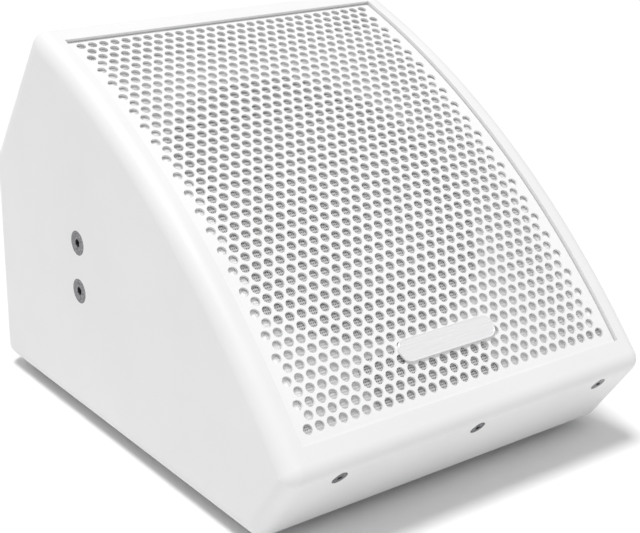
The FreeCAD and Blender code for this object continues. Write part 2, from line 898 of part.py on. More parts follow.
def surround():
    """The half-roll rubber edge of the cone."""
    low = "D.frame_flange"
    high = "(D.frame_flange + D.surround_sheet)"
    roll_outer = "(D.frame_inner + D.roll_clearance)"
    half = f"(({roll_outer} - D.surround_inner) / 2)"
    # the roll is an arc of roll_height over the span between the two lands
    roll = f"(({half}^2 + D.roll_height^2) / (2 * D.roll_height))"
    turned_part("cone_surround", [
        ("D.cone_land", low),
        ("D.surround_inner", low),
        (roll_outer, low),
        ("D.surround_outer", low),
        ("D.surround_outer", high),
        (f"{roll_outer} + D.surround_sheet", high),
        ("D.surround_inner - D.surround_sheet", high),
        ("D.cone_land", high),
    ], {1: (roll, RIGHT), 5: (f"{roll} + D.surround_sheet", LEFT)})
    ring_part("frame_gasket", f"{roll_outer} + D.gasket_setback", "D.surround_outer", high,
              f"{high} + D.gasket_height")


def cone():
    """The paper cone with a flat edge under the surround and a collar on the coil former."""
    edge = "D.frame_flange"
    neck = "(D.coil_inner + D.former_wall)"
    turned_part("woofer_cone", [
        (neck, "-D.cone_depth + D.cone_collar"),
        (neck, "-D.cone_depth"),
        (f"{neck} + D.cone_wall * 3 / 2", "-D.cone_depth"),
        ("D.cone_land + D.cone_lip", f"{edge} - D.cone_wall"),
        ("D.surround_inner - D.cone_setback", f"{edge} - D.cone_wall"),
        ("D.surround_inner - D.cone_setback", edge),
        ("D.cone_land", edge),
    ], {2: ("D.cone_curve", RIGHT), 6: ("D.cone_curve - D.cone_wall", LEFT)})


def spider():
    """The corrugated rear suspension between the coil former and the frame's ledge."""
    inner = "(D.coil_inner + D.former_wall)"
    waves = int(size("D.spider_waves"))
    first = f"({inner} + D.spider_neck)"
    last = "(D.spider_outer - D.spider_land)"
    low = "-D.spider_level"
    upper = []
    lower = []
    for step in range(2 * waves + 1):
        across = f"({first} + ({last} - {first}) * {step} / {2 * waves})"
        lift = f"{step % 2} * D.spider_wave"
        lower.append((across, f"{low} + {lift} - D.spider_sheet"))
        upper.append((across, f"{low} + {lift}"))
    ledge = "(D.spider_outer + D.spider_overhang)"
    points = [(inner, f"{low} - D.spider_sheet")] + lower + [(ledge, f"{low} - D.spider_sheet"),
                                                             (ledge, low)]
    points += list(reversed(upper)) + [(inner, low)]
    turned_part("spider", points)


def motor():
    """Voice coil, front plate, magnet and the back plate with its hollow pole."""
    former = "(D.coil_inner + D.former_wall)"
    ring_part("coil_former", "D.coil_inner", former, "-D.coil_end",
              "-D.cone_depth + D.cone_collar")
    ring_part("coil_winding", former, f"{former} + D.coil_wall", "-D.coil_end",
              "-D.coil_end + D.coil_length")
    gap = "-D.frame_depth"
    plate_end = "(-D.frame_depth - D.front_plate_height)"
    magnet_end = f"({plate_end} - D.magnet_height)"
    ring_part("front_plate", "D.plate_bore", "D.plate_radius", plate_end, gap)
    ring_part("driver_magnet", "D.magnet_bore", "D.magnet_radius", magnet_end, plate_end)
    turned_part("back_plate", [
        ("D.throat_radius", f"-{MOTOR_END}"),
        ("D.plate_radius", f"-{MOTOR_END}"),
        ("D.plate_radius", magnet_end),
        ("D.pole_radius", magnet_end),
        ("D.pole_radius", f"{gap} - D.pole_below"),
        ("D.throat_radius", f"{gap} - D.pole_below"),
    ])


def horn():
    """The short horn that carries the high notes out through the cone."""
    foot = "(-D.frame_depth - D.pole_below)"
    outside = ("D.horn_mouth", "-D.horn_front")
    turned_part("tweeter_horn", [
        ("D.throat_radius", foot),
        ("D.horn_foot", foot),
        ("D.horn_foot", f"{foot} + D.horn_wall"),
        ("D.throat_radius + D.horn_wall + D.horn_root", f"{foot} + D.horn_wall"),
        outside,
        ("D.horn_mouth - D.horn_wall", "-D.horn_front"),
    ], {3: ("D.horn_curve", RIGHT), 5: ("D.horn_curve", LEFT)})


def phase_plug(low, high):
    """A plug with radial slots between the throat and the dome."""
    blank = turned("plug_blank", [
        ("0", low),
        ("D.plug_radius", low),
        ("D.plug_radius", high),
        ("D.throat_radius", high),
        ("0", f"{high} + D.plug_tip"),
    ])
    slot = block("plug_slot", "D.plug_radius - D.plug_slot_start - D.plug_slot_rim",
                 "D.plug_slot_width", "2 * D.plug_radius", centred=False)
    start = Vector(size("D.plug_slot_start"), -size("D.plug_slot_width / 2"),
                   size(f"{low} - D.plug_radius / 2"))
    places = []
    for step in range(int(size("D.plug_slots"))):
        turn = Rotation(Vector(0, 0, 1), 360 * step / size("D.plug_slots"))
        places.append(Placement(turn.multVec(start), turn))
    shell = cut("phase_plug", blank, repeated("plug_slots", slot, places))
    shell.Placement = driver_place()
    keep(shell, "phase_plug")


def tweeter():
    """The compression driver on the back plate."""
    start = f"(-{MOTOR_END})"
    front_end = f"({start} - D.tweeter_front_plate)"
    magnet_end = f"({front_end} - D.tweeter_magnet_height)"
    top_end = f"({magnet_end} - D.tweeter_top_plate)"
    ring_part("tweeter_front_plate", "D.throat_radius", "D.tweeter_radius", front_end, start)
    ring_part("tweeter_magnet", "D.tweeter_magnet_bore", "D.tweeter_radius", magnet_end, front_end)
    ring_part("tweeter_top_plate", "D.tweeter_gap_bore", "D.tweeter_radius", top_end, magnet_end)
    phase_plug(f"{top_end} + D.dome_gap", front_end)
    # the dome bulges away from the plug; its coil tube hangs in the gap of the top plate
    base = f"({top_end} - D.dome_setback)"
    clamp = f"({base} - D.suspension_wall)"
    skirt = f"{base} + D.dome_skirt"
    tip = f"({base} - D.dome_height)"
    curve = "((D.dome_radius^2 + D.dome_height^2) / (2 * D.dome_height))"
    turned_part("tweeter_dome", [
        ("0", f"{tip} + D.dome_wall"),
        ("0", tip),
        ("D.dome_radius", base),
        ("D.dome_radius", skirt),
        ("D.dome_radius - D.dome_wall", skirt),
        ("D.dome_radius - D.dome_wall", f"{base} + D.dome_wall / 2"),
    ], {1: (curve, LEFT), 5: (f"({curve} - D.dome_wall)", RIGHT)})
    ring_part("dome_suspension", "D.dome_radius", "D.suspension_outer - D.suspension_fit", clamp, base)
    cap_end = f"({top_end} - D.rear_cap_height)"
    turned_part("tweeter_rear_cap", [
        ("0", cap_end),
        ("D.rear_cap_radius", cap_end),
        ("D.rear_cap_radius", top_end),
        ("D.suspension_outer", top_end),
        ("D.suspension_outer", clamp),
        ("D.suspension_outer - D.cap_ledge", clamp),
        ("D.suspension_outer - D.cap_ledge", f"{cap_end} + D.rear_cap_wall"),
        ("0", f"{cap_end} + D.rear_cap_wall"),
    ])


def terminals():
    """Terminal blocks on the rear face of the back plate: the woofer's above, the tweeter's
    to the right."""
    blank = block("terminal_blank", "D.terminal_width", "D.terminal_depth", "D.terminal_height")
    offset = size("D.terminal_offset")
    level = size(f"-{MOTOR_END} - D.terminal_height")
    places = [driver_place(0, offset, level), driver_place(offset, 0, level)]
    keep(repeated("driver_terminals", blank, places), "driver_terminals")


# ---------------------------------------------------------------- baffle and port

def port():
    """A box-section port glued into the baffle."""
    points = rounded_rectangle("D.port_width + 2 * D.port_wall", "D.port_height + 2 * D.port_wall",
                               "D.port_corner + D.port_wall")
    outer = padded("port_outside", "XY_Plane", [points], "D.port_length", middle=False)
    inner = padded("port_inside", "XY_Plane",
                   [rounded_rectangle("D.port_width", "D.port_height", "D.port_corner")],
                   "D.port_length", middle=False)
    place = face_place(0, size("D.port_rise"), -size("D.baffle_depth + D.port_length"))
    outer.Placement = place
    inner.Placement = place
    keep(cut("port_duct", outer, inner), "port_duct")
    return outer


def baffle(port_outside, screws, nuts):
    """The panel that carries the driver and the port."""
    blank = block("baffle_blank", INNER_WIDTH, "D.face_chord - 2 * D.edge_wall", "D.baffle_wall")
    middle = size("D.face_chord / 2")
    panel = placed("baffle_panel", blank,
                   face_place(0, middle, -size("D.baffle_depth + D.baffle_wall")))
    hole = rod("driver_cutout", "D.driver_hole", "D.baffle_wall",
               driver_place(0, 0, -size("D.baffle_wall")))
    keep(cut("baffle", panel, hole, port_outside, screws, nuts), "baffle")


def battens_and_cleats():
    """Battens behind the baffle, and curved cleats that the grille's sides lie against."""
    length = "(D.batten_end - D.batten_start)"
    batten = block("batten_blank", "D.batten_width", length, "D.batten_width")
    cleat_radius = f"({GRILLE_INSIDE} - D.cleat_gap)"
    across = size(f"({INNER_WIDTH} - D.batten_width) / 2")
    middle = size("(D.batten_start + D.batten_end) / 2")
    out = -size("D.baffle_depth + D.baffle_wall + D.batten_width")
    keep(repeated("baffle_battens", batten,
                  [face_place(side * across, middle, out) for side in SIDEWAYS.values()]),
         "baffle_battens")
    for word, side in SIDEWAYS.items():
        points = [("D.cleat_start", "-D.baffle_depth"), ("D.cleat_end", "-D.baffle_depth"),
                  curved_point("D.cleat_end", cleat_radius),
                  curved_point("D.cleat_start", cleat_radius)]
        cleat = padded(f"grille_cleat_{word}", "YZ_Plane", [(points, {2: (cleat_radius, LEFT)})],
                       "D.cleat_width")
        cleat.Placement = face_place(side * size(f"({INNER_WIDTH} - D.cleat_width) / 2"))
        keep(cleat, f"grille_cleat_{word}")


# ---------------------------------------------------------------- rear connector plate

# Rear parts are drawn with Z pointing out of the back, X to the left seen from behind.
FACING_BACK = Rotation(Vector(0, 0, 1), 180).multiply(Rotation(Vector(1, 0, 0), 90))


def rear_place(x=0, up=0, level=0):
    """A placement on the outer face of the connector plate, level counted outwards."""
    back = size(f"{CABINET_DEPTH} - D.plate_rebate + D.plate_wall") + level
    return cabinet_place(x, back, size("D.plate_rise") + up, FACING_BACK)


def rear_sockets():
    """Two round twist-lock loudspeaker sockets and the tabs behind them."""
    flange = block("socket_flange", "D.socket_flange", "D.socket_flange", "D.socket_flange_wall")
    back_end = "-D.socket_reach"
    shell = turned("socket_shell", [
        ("0", back_end),
        ("D.socket_body", back_end),
        ("D.socket_body", "D.socket_flange_wall / 2"),
        ("0", "D.socket_flange_wall / 2"),
    ])
    hollow = turned("socket_hollow", [
        ("D.socket_post", f"{back_end} + D.socket_floor"),
        ("D.socket_bore", f"{back_end} + D.socket_floor"),
        ("D.socket_bore", "D.socket_flange_wall + D.over_cut"),
        ("0", "D.socket_flange_wall + D.over_cut"),
        ("0", "-D.over_cut"),
        ("D.socket_post", "-D.over_cut"),
    ])
    master = cut("socket_master", fused("socket_solid", [flange, shell]), hollow)
    tab = block("tab_blank", "D.tab_width", "D.tab_wall", "D.tab_length")
    upright = Rotation(Vector(0, 0, 1), 90)
    tab_places = []
    sockets = []
    for name, side in (("socket_input", 1), ("socket_link", -1)):
        x = side * size("D.socket_offset")
        sockets.append(keep(placed(name, master, rear_place(x)), name))
        for right, up in around(4, size("D.tab_offset")):
            place = rear_place(x + right, up, -size("D.socket_reach + D.tab_length"))
            if abs(right) > abs(up):
                place = place.multiply(Placement(Vector(), upright))
            tab_places.append(place)
    keep(repeated("socket_tabs", tab, tab_places), "socket_tabs")
    screw = pan_screw("socket_screw", "socket_screw", "D.socket_screw_length")
    corner = size("D.socket_flange / 2 - D.socket_screw_inset")
    places = [rear_place(side * size("D.socket_offset") + turn * corner, turn * corner,
                         size("D.socket_flange_wall"))
              for side in SIDEWAYS.values() for turn in (-1, 1)]
    screws = repeated("socket_screws", screw, places)
    return sockets, screws


def rear_plate():
    """The steel plate in a rebate of the back, its screws, and the sockets' screws."""
    sockets, socket_screws = rear_sockets()
    screw = pan_screw("plate_screw", "wood_screw", "D.plate_screw_length")
    across = size("D.plate_width / 2 - D.plate_screw_inset")
    upward = size("D.plate_height / 2 - D.plate_screw_inset")
    spots = [(step * across, side * upward) for step in (-1, 0, 1) for side in (-1, 1)]
    screws = keep(repeated("rear_plate_screws", screw, [rear_place(x, up) for x, up in spots]),
                  "rear_plate_screws")
    plate = padded("plate_blank", "XY_Plane",
                   [rounded_rectangle("D.plate_width", "D.plate_height", "D.plate_corner")],
                   "D.plate_wall", middle=False)
    plate.Placement = rear_place(level=-size("D.plate_wall"))
    bodies = [rod(f"socket_cutout_{index}", "D.socket_body", "D.socket_reach",
                  rear_place(side * size("D.socket_offset"), 0, -size("D.socket_reach")))
              for index, side in enumerate(SIDEWAYS.values())]
    keep(cut("rear_plate", plate, *bodies, screws, socket_screws), "rear_plate")
    doc.recompute()
    for socket in sockets:
        pierced = socket.Shape.cut(socket_screws.Shape)
        socket.Shape = pierced
    keep(socket_screws, "socket_screws")
    return screws


def back_wall(blank, screws):
    """The back with the rebate and the window for the connector plate."""
    rebate = padded("rebate", "XY_Plane",
                    [rounded_rectangle("D.plate_width + D.plate_clearance",
                                       "D.plate_height + D.plate_clearance", "D.plate_corner")],
                    "D.plate_rebate", middle=False)
    rebate.Placement = rear_place(level=-size("D.plate_wall"))
    window = block("window", "D.plate_width - 2 * D.plate_rim", "D.plate_height - 2 * D.plate_rim",
                   "2 * D.wall")
    opening = placed("window_tool", window, rear_place(level=-size("2 * D.wall")))
    keep(cut("back_panel", cut("back_rebated", blank, rebate), opening, screws), "back_panel")


# ---------------------------------------------------------------- crossover

def board_place(x, back, up=0, turn=Rotation()):
    """A placement on the upper face of the crossover board."""
    level = size("D.wall + D.standoff_height + D.board_wall")
    return cabinet_place(x, back, level + up, turn)


# Places on the board, as across and back: inductors and capacitors with a radius and a length.
INDUCTORS = {"woofer": (-40, 255, 22, 22), "tweeter": (50, 250, 14, 15)}
CAPACITORS = ((-62, 219, 8, 30), (-28, 217, 6.5, 24))
RESISTORS = ((21, 216.5), (21, 229.5))
BLOCKS = {"woofer": (0, 240), "tweeter": (53, 216), "input": (24, 264)}


def board_spots():
    """Where the board's screws are, as (across, back) from the cabinet's lower front corner."""
    middle = size("D.board_front + D.board_length / 2")
    across = size("D.board_width / 2 - D.board_hole_inset")
    along = size("D.board_length / 2 - D.board_hole_inset")
    return [(right * across, middle + back * along) for right in (-1, 1) for back in (-1, 1)]


def inductors():
    """Air-cored coils on plastic bobbins."""
    bobbins = []
    coils = []
    for name, (x, back, radius, height) in INDUCTORS.items():
        core = f"{radius} * D.bobbin_core"
        upper = f"{height} - D.bobbin_wall"
        bobbin = turned(f"{name}_bobbin_master", [
            ("D.bobbin_bore", "0"), (f"{radius}", "0"), (f"{radius}", "D.bobbin_wall"),
            (core, "D.bobbin_wall"), (core, upper), (f"{radius}", upper),
            (f"{radius}", f"{height}"), ("D.bobbin_bore", f"{height}")])
        coil = ring(f"{name}_coil_master", core, f"{radius} - D.winding_setback", "D.bobbin_wall", upper)
        bobbins.append(placed(f"{name}_bobbin", bobbin, board_place(x, back)))
        coils.append(placed(f"{name}_coil", coil, board_place(x, back)))
    keep(gathered("inductor_bobbins", bobbins), "inductor_bobbins")
    keep(gathered("inductor_windings", coils), "inductor_windings")


def crossover(screws):
    """The crossover board on its standoffs, and the parts on it."""
    board = block("board_blank", "D.board_width", "D.board_length", "D.board_wall")
    middle = size("D.board_front + D.board_length / 2")
    flat = placed("board_flat", board, board_place(0, middle, -size("D.board_wall")))
    standoff = ring("standoff", "D.wood_screw_radius", "D.standoff_radius", "0", "D.standoff_height")
    keep(repeated("board_standoffs", standoff,
                  [cabinet_place(x, back, size("D.wall")) for x, back in board_spots()]),
         "board_standoffs")
    keep(cut("crossover_board", flat, screws), "crossover_board")
    inductors()
    lying = Rotation(Vector(0, 1, 0), 90)
    cans = [rod(f"capacitor_{index}", f"{radius}", f"{length}", board_place(x, back, radius, lying))
            for index, (x, back, radius, length) in enumerate(CAPACITORS)]
    keep(gathered("film_capacitors", cans), "film_capacitors")
    resistor = block("resistor", "D.resistor_length", "D.resistor_depth", "D.resistor_height")
    keep(repeated("power_resistors", resistor, [board_place(x, back) for x, back in RESISTORS]),
         "power_resistors")
    terminal = block("board_block", "D.terminal_width", "D.block_depth", "D.block_height")
    keep(repeated("board_terminals", terminal, [board_place(x, back) for x, back in BLOCKS.values()]),
         "board_terminals")


# ---------------------------------------------------------------- wiring

# The share of a wire's shorter run that the arc beside it takes up.
BEND_SHARE = 0.45


def wire_solid(points):
    """A round wire along straight runs joined by arcs that touch both of them."""
    radius = size("D.wire_radius")
    edges = []
    start = points[0]
    for before, corner, after in zip(points, points[1:], points[2:]):
        inward = (before - corner).normalize()
        onward = (after - corner).normalize()
        turn = math.pi - inward.getAngle(onward)
        reach = BEND_SHARE * min((before - corner).Length, (after - corner).Length)
        bend = reach / math.tan(turn / 2)
        entry = corner + inward * reach
        leave = corner + onward * reach
        bisector = (inward + onward).normalize()
        centre = corner + bisector * math.hypot(reach, bend)
        edges.append(Part.LineSegment(start, entry).toShape())
        edges.append(Part.Arc(entry, centre - bisector * bend, leave).toShape())
        start = leave
    edges.append(Part.LineSegment(start, points[-1]).toShape())
    path = Part.Wire(edges)
    direction = (points[1] - points[0]).normalize()
    section = Part.Wire([Part.makeCircle(radius, points[0], direction)])
    solid = path.makePipeShell([section], True, True)
    expected = math.pi * radius ** 2 * path.Length
    print(f"wire: length {path.Length:.1f}, volume error {abs(solid.Volume / expected - 1):.4f}")
    return solid


def wire_pair(label, routes):
    """Two or more separate wires as one sub-part."""
    pair = doc.addObject("Part::Feature", label)
    pair.Shape = Part.makeCompound([wire_solid(route) for route in routes])
    keep(pair, label)


def wiring():
    """Wires from the sockets to the board and from the board to the driver."""
    spacing = size("D.wire_spacing")
    forward = Vector(0, -size("D.link_reach"), 0)
    block_top = size("D.block_height")
    block_half = size("D.block_depth / 2")
    motor_level = size(f"-{MOTOR_END} - D.terminal_height")
    offset = size("D.terminal_offset")
    woofer = []
    tweeter = []
    for side in (-1, 1):
        x, back = BLOCKS["woofer"]
        end = board_place(x + side * spacing, back, block_top).Base
        start = driver_place(side * spacing, offset, motor_level).Base
        outward = face_place(0, 0, -1).Base - face_place().Base
        elbow = start + outward * ((end.y - start.y) / outward.y)
        woofer.append([start, elbow, end])
        x, back = BLOCKS["tweeter"]
        end = board_place(x + side * spacing, back - block_half, block_top / 2).Base
        start = driver_place(offset + side * spacing, 0, motor_level).Base
        elbow = start + outward * ((end.z - start.z) / outward.z)
        tweeter.append([start, elbow, end])
    wire_pair("woofer_wires", woofer)
    wire_pair("tweeter_wires", tweeter)
    reach = -size("D.socket_reach + D.tab_length")
    tab = size("D.tab_offset")
    x, back = BLOCKS["input"]
    feed = []
    link = []
    for side in (-1, 1):
        start = rear_place(x + side * tab, 0, reach).Base
        end = board_place(x + side * tab, back, block_top).Base
        feed.append([start, Vector(start.x, end.y, start.z), end])
        near = rear_place(size("D.socket_offset"), side * tab, reach).Base
        far = rear_place(-size("D.socket_offset"), side * tab, reach).Base
        link.append([near, near + forward, far + forward, far])
    wire_pair("input_wires", feed)
    wire_pair("link_wires", link)


def damping_pad():
    """A pad of polyester wadding glued under the top."""
    blank = block("pad_blank", "D.pad_width", "D.pad_thickness", "D.pad_length")
    rise = size("D.face_chord - D.edge_wall - D.pad_thickness / 2")
    place = face_place(0, rise, -size("D.pad_depth + D.pad_length"))
    keep(placed("damping_pad", blank, place), "damping_pad")


# ---------------------------------------------------------------- assembly

def cabinet(envelope, fly_holes, screws, grille_screw_holes, plate_screws):
    """The six outer walls, each pierced by the fasteners that go through it."""
    for word, side in SIDEWAYS.items():
        name = f"side_panel_{word}"
        keep(cut(name, side_piece(name, envelope, side), fly_holes), name)
    lip = wall_piece("front_lip", envelope,
                     ("front_low", "front_low_inside", "front_high_inside", "front_high"))
    keep(cut("front_lip_panel", lip, grille_screw_holes), "front_lip_panel")
    top = wall_piece("top", envelope,
                     ("top_high", "top_high_inside", "back_high_inside", "back_high"))
    keep(cut("top_panel", top, grille_screw_holes), "top_panel")
    bottom = wall_piece("bottom", envelope,
                        ("back_low", "back_low_inside", "front_low_inside", "front_low"))
    keep(cut("bottom_panel", bottom, screws), "bottom_panel")
    back = wall_piece("back", envelope,
                      ("back_high", "back_high_inside", "back_low_inside", "back_low"))
    back_wall(back, plate_screws)


def build():
    screws, nuts = driver_fastenings()
    driver_frame(screws)
    surround()
    cone()
    spider()
    motor()
    horn()
    tweeter()
    terminals()
    baffle(port(), screws, nuts)
    battens_and_cleats()
    grille_screw_holes = grille_fastenings()
    grille(grille_screw_holes)
    badge()
    grille_scrim()
    fly_holes = fly_points()
    feet()
    bottom_screws = wood_screws()
    crossover(bottom_screws)
    plate_screws = rear_plate()
    wiring()
    damping_pad()
    cabinet(cabinet_envelope(), fly_holes, bottom_screws, grille_screw_holes, plate_screws)


def export():
    """Checks every object, then writes each sub-part to its own file."""
    doc.recompute()
    failed = [item.Name for item in doc.Objects if {"Invalid", "Error"} & set(item.State)]
    if failed:
        raise RuntimeError(f"failed objects: {failed}")
    for piece in subparts:
        if piece.Shape.isNull() or not piece.Shape.isValid():
            raise RuntimeError(f"bad shape: {piece.Label}")
    os.makedirs("parts", exist_ok=True)
    for piece in subparts:
        piece.Shape.exportStep(f"parts/{piece.Label}.step")
        solids = len(piece.Shape.Solids)
        print(f"{piece.Label}: {solids} solids, {piece.Shape.Volume / 1000:.2f} cm3")


build()
export()
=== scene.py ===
"""A white stage monitor wedge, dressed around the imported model. Lengths are in metres."""
import math

import bmesh
import bpy
from mathutils import Matrix, Vector


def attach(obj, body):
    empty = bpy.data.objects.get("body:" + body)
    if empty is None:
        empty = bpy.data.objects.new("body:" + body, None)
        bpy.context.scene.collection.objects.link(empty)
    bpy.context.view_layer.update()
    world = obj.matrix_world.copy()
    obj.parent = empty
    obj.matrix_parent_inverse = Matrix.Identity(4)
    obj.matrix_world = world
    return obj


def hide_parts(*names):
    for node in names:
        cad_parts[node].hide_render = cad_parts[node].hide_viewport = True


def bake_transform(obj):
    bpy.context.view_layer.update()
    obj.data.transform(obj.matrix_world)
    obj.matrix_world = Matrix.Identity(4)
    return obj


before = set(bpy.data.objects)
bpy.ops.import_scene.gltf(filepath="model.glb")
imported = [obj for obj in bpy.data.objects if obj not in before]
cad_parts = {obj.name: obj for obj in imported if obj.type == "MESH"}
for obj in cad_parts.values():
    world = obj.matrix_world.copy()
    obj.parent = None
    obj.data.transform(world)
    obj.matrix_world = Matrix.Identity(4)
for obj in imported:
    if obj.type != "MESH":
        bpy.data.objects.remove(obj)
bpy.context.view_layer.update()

MILLIMETRE = 0.001

# The sloping front: its directions, its sharp lower edge, and the curve that its grille follows.
SLOPE = math.radians(35)
ACROSS = Vector((1, 0, 0))
RISE = Vector((0, math.cos(SLOPE), math.sin(SLOPE)))
OUT = Vector((0, -math.sin(SLOPE), math.cos(SLOPE)))
FRONT_EDGE = Vector((0, -0.17285, 0.05638))
FRONT_LENGTH = 0.337
FRONT_RADIUS = 0.604
GRILLE_RADIUS = FRONT_RADIUS - 0.0025
CURVE_DEPTH = math.sqrt(FRONT_RADIUS ** 2 - (FRONT_LENGTH / 2) ** 2)
CURVE_CENTRE = FRONT_EDGE + RISE * FRONT_LENGTH / 2 - OUT * CURVE_DEPTH

# The perforated sheet: a staggered lattice whose middle is a little above the front's.
HOLE_PITCH = 0.008
ROW_STEP = HOLE_PITCH * math.sqrt(3) / 2
LATTICE_SHIFT = 0.0015

# The blank name plate, 17.5 rows below the lattice's middle, held by two studs. Its edge goes in
# steps, given in millimetres: how far in, and how high.
BADGE_SIZE = (0.072, 0.014)
BADGE_CORNER = 0.0065
BADGE_ARC = LATTICE_SHIFT - 17.5 * ROW_STEP
BADGE_LIFT = 0.0002
BADGE_EDGE = (
    (0.15, 0), (0, 0.15), (0, 1.25), (0.1, 1.45), (0.3, 1.6), (0.7, 1.6), (0.85, 1.5), (0.95, 1.35),
)
CORNER_STEPS = 10
PLATE_CREASE = 35
STUD_ARC = BADGE_ARC + ROW_STEP / 2
STUD_OFFSET = 3 * HOLE_PITCH
STUD_RADIUS = 0.0022
STUD_TAPER = 0.8
STUD_LENGTH = 0.0052
STUD_MIDDLE = -0.0022
STUD_SIDES = 24

# The cloth behind the sheet. The cleats are beside it between two shares of its height, where it
# is narrower.
SCRIM_WIDTH = 0.240
SCRIM_WAIST = 0.222
CLEAT_START = 0.03
CLEAT_END = 0.93
SCRIM_ARC = 0.1505
SCRIM_LEVEL = -0.0018
SCRIM_GRID = (24, 48)

# The wadding under the top: its size, and how its sewn channels and its hem draw it in.
PAD_SIZE = (0.190, 0.054, 0.020)
PAD_MIDDLE = FRONT_EDGE + RISE * 0.310 - OUT * 0.071
PAD_GRID = (96, 28)
PAD_CHANNELS = 4
CHANNEL_FLOOR = 0.62
HEM_THICKNESS = 0.1
HEM_PULL = 0.03

# The driver's soft rings, round the middle of its mounting plane. The spans are the radii between
# which a ring bends, and the lands are the radii of its glued edges.
DRIVER_MIDDLE = FRONT_EDGE + RISE * 0.1765 - OUT * 0.018
RING_WEDGES = 24
WEDGE_STEPS = 4
RING_CREASE = 50
SURROUND_SPAN = (0.0775, 0.0885)
SURROUND_LANDS = (0.0735, 0.0945)
SURROUND_LEVEL = 0.005
SURROUND_SHEET = 0.0008
ROLL_HEIGHT = 0.005
ROLL_STEPS = 14
SPIDER_SPAN = (0.0365, 0.062)
SPIDER_LANDS = (0.0335, 0.0665)
SPIDER_LEVEL = -0.040
SPIDER_SHEET = 0.0006
SPIDER_WAVE = 0.002
SPIDER_WAVES = 5
WAVE_STEPS = 8

# The camera stands to the left of the wedge and a little above it.
CAMERA_AZIMUTH = math.radians(-35.15)
CAMERA_ELEVATION = math.radians(18.75)
CAMERA_PLACE = Vector((-0.5126, -0.6791, 0.4154))
CAMERA_LENS = 78.37
CAMERA_SHIFT = (0.094, -0.073)
CAMERA_NEAR = 0.01

# The studio: an even white room, and one broad soft light from above and a little to the left.
ROOM_STRENGTH = 0.58
KEY_FROM = Vector((-0.15, 0.02, 0.99))
KEY_STRENGTH = 2.2
KEY_SPREAD = math.radians(18)
FLOOR_SIZE = 8.0
FLOOR_TONE = (0.86, 0.86, 0.86)

# Textures stay mostly near a half, so colours and roughness go from end to end between these values.
FACTOR_LOW = 0.3
FACTOR_HIGH = 0.7


# ---------------------------------------------------------------- materials


class Finish:
    """A procedural material: its shader's own values, and the textures that vary them."""

    def __init__(self, name, colour, roughness, metallic=0.0):
        self.material = bpy.data.materials.new(name)
        self.material.use_nodes = True
        self.nodes = self.material.node_tree.nodes
        self.links = self.material.node_tree.links
        self.shader = self.nodes["Principled BSDF"]
        self.shader.inputs["Base Color"].default_value = (*colour, 1)
        self.shader.inputs["Roughness"].default_value = roughness
        self.shader.inputs["Metallic"].default_value = metallic
        self.place = self.nodes.new("ShaderNodeTexCoord").outputs["Object"]
        self.last_bump = None

    def set(self, **values):
        """Sets values on the shader's own sockets; in a name an underscore stands for a space."""
        for name, value in values.items():
            self.shader.inputs[name.replace("_", " ").title()].default_value = value
        return self

    def stretched(self, scale, turn=(0, 0, 0)):
        """Coordinates turned and then scaled by a different amount each way."""
        mapping = self.nodes.new("ShaderNodeMapping")
        mapping.inputs["Rotation"].default_value = turn
        mapping.inputs["Scale"].default_value = scale
        self.links.new(self.place, mapping.inputs["Vector"])
        return mapping.outputs["Vector"]

    def noise(self, scale, detail, vector=None):
        """Soft clouds, or grain where the scale is high."""
        node = self.nodes.new("ShaderNodeTexNoise")
        node.inputs["Scale"].default_value = scale
        node.inputs["Detail"].default_value = detail
        self.links.new(vector or self.place, node.inputs["Vector"])
        return node.outputs["Fac"]

    def cells(self, scale):
        """Small pits, packed side by side."""
        node = self.nodes.new("ShaderNodeTexVoronoi")
        node.inputs["Scale"].default_value = scale
        self.links.new(self.place, node.inputs["Vector"])
        return node.outputs["Distance"]

    def waves(self, scale, direction, vector=None):
        """Straight bands that follow one another along an axis."""
        node = self.nodes.new("ShaderNodeTexWave")
        node.bands_direction = direction
        node.inputs["Scale"].default_value = scale
        self.links.new(vector or self.place, node.inputs["Vector"])
        return node.outputs["Fac"]

    def weave(self, scale, vector=None):
        """Two sets of threads that cross."""
        node = self.nodes.new("ShaderNodeMath")
        node.operation = "MAXIMUM"
        self.links.new(self.waves(scale, "X", vector), node.inputs[0])
        self.links.new(self.waves(scale, "Z", vector), node.inputs[1])
        return node.outputs["Value"]

    def spread(self, factor, low, high):
        """A factor turned into a value from low to high."""
        node = self.nodes.new("ShaderNodeMapRange")
        limits = {"From Min": FACTOR_LOW, "From Max": FACTOR_HIGH, "To Min": low, "To Max": high}
        for name, value in limits.items():
            node.inputs[name].default_value = value
        self.links.new(factor, node.inputs["Value"])
        return node.outputs["Result"]

    def tint(self, factor, low, high):
        """The colour goes from low to high with the factor."""
        ramp = self.nodes.new("ShaderNodeValToRGB")
        places = (FACTOR_LOW, FACTOR_HIGH)
        for stop, place, colour in zip(ramp.color_ramp.elements, places, (low, high)):
            stop.position = place
            stop.color = (*colour, 1)
        self.links.new(factor, ramp.inputs["Fac"])
        self.links.new(ramp.outputs["Color"], self.shader.inputs["Base Color"])
        return self

    def vary_roughness(self, factor, low, high):
        """The roughness goes from low to high with the factor."""
        self.links.new(self.spread(factor, low, high), self.shader.inputs["Roughness"])
        return self

    def open_weave(self, threads, gap, thread):
        """The cloth lets light through between its threads."""
        self.links.new(self.spread(threads, gap, thread), self.shader.inputs["Alpha"])
        return self

    def bump(self, height, strength, depth):
        """Adds a fine relief on top of any that is already there."""
        node = self.nodes.new("ShaderNodeBump")
        node.inputs["Strength"].default_value = strength
        node.inputs["Distance"].default_value = depth
        self.links.new(height, node.inputs["Height"])
        if self.last_bump:
            self.links.new(self.last_bump, node.inputs["Normal"])
        self.last_bump = node.outputs["Normal"]
        self.links.new(self.last_bump, self.shader.inputs["Normal"])
        return self


